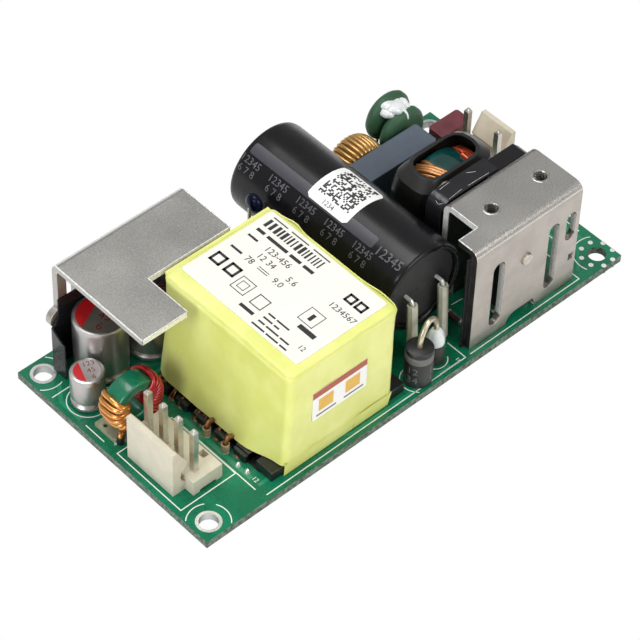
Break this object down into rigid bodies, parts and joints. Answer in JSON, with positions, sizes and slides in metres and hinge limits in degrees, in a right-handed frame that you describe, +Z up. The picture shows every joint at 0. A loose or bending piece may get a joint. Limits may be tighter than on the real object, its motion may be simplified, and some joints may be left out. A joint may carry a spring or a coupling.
{
  "type": "open frame power supply",
  "caption": "Open frame power supply: a slim circuit board with mounting holes, folded heatsinks, taped transformer, capacitors, chokes and two locking pin headers.",
  "frame": {"origin": "centre of the mounting hole pattern on the underside of the board", "axes": "+X towards the mains input end, +Z up out of the board on the component side"},
  "size_m": [0.1018, 0.0508, 0.0282],
  "materials": {
    "board_laminate": "green solder mask over glass laminate",
    "header_nylon": "ivory moulded",
    "tinned_pin": "tinned",
    "tinned_sheet": "mottled tinned sheet",
    "screw_steel": "plated",
    "package_black": "moulded",
    "film_black": "glossy film",
    "can_aluminium": "bare can",
    "seal_rubber": "matte",
    "sleeve_black": "shrunk sleeve",
    "tube_cream": "slit sleeving",
    "label_paper": "satin paper",
    "tape_yellow": "polyester tape",
    "ferrite_grey": "ferrite",
    "bobbin_black": "moulded",
    "copper_wire": "enamelled",
    "red_wire": "red enamel",
    "core_green": "coated core",
    "choke_base": "moulded",
    "tube_black": "shrunk tube",
    "case_slate": "moulded case",
    "case_maroon": "dipped case",
    "disc_green": "dipped",
    "disc_blue": "dipped",
    "silicone_white": "cured bead",
    "diode_black": "moulded",
    "glass_body": "glass and tin",
    "chip_ceramic": "ceramic"
  },
  "bodies": {
    "root": {"bead_silicone": "silicone_white", "blue_disc_capacitor": "disc_blue", "bridge_rectifier": "package_black", "bulk_capacitor_bung": "seal_rubber", "bulk_capacitor_can": "can_aluminium", "bulk_capacitor_leads": "tinned_pin", "bulk_capacitor_sleeve": "sleeve_black", "bulk_capacitor_sticker": "label_paper", "bulk_lead_sleeves": "tube_cream", "chip_parts": "chip_ceramic", "choke_leads": "tinned_pin", "circuit_board": "board_laminate", "controller_bodies": "package_black", "controller_leads": "tinned_pin", "cylinder_diode": "glass_body", "disc_leads": "tinned_pin", "disc_silicone": "silicone_white", "draped_film": "film_black", "ferrite_bead": "ferrite_grey", "film_capacitor_leads": "tinned_pin", "filter_choke_copper": "copper_wire", "filter_choke_core": "core_green", "filter_choke_red": "red_wire", "filter_choke_sleeve": "tube_black", "flying_lead_sleeves": "tube_cream", "heatsink_screws": "screw_steel", "input_header_housing": "header_nylon", "input_header_pins": "tinned_pin", "inrush_discs": "disc_green", "line_capacitor": "case_slate", "output_choke_base": "choke_base", "output_choke_copper": "copper_wire", "output_choke_core": "core_green", "output_choke_red": "red_wire", "output_header_housing": "header_nylon", "output_header_pins": "tinned_pin", "output_rectifier": "package_black", "package_leads": "tinned_pin", "power_diode": "diode_black", "power_diode_lead": "tinned_pin", "primary_film": "film_black", "primary_heatsink": "tinned_sheet", "radial_capacitor_bungs": "seal_rubber", "radial_capacitor_cans": "can_aluminium", "radial_capacitor_leads": "tinned_pin", "ring_choke_core": "core_green", "ring_choke_winding": "copper_wire", "secondary_film": "film_black", "secondary_heatsink": "tinned_sheet", "suppression_capacitor": "case_maroon", "switch_transistors": "package_black", "transformer_bobbin": "bobbin_black", "transformer_core": "ferrite_grey", "transformer_flying_leads": "copper_wire", "transformer_label": "label_paper", "transformer_pins": "tinned_pin", "transformer_sticker": "label_paper", "transformer_tape": "tape_yellow", "transformer_winding": "copper_wire"}
  },
  "joints": []
}
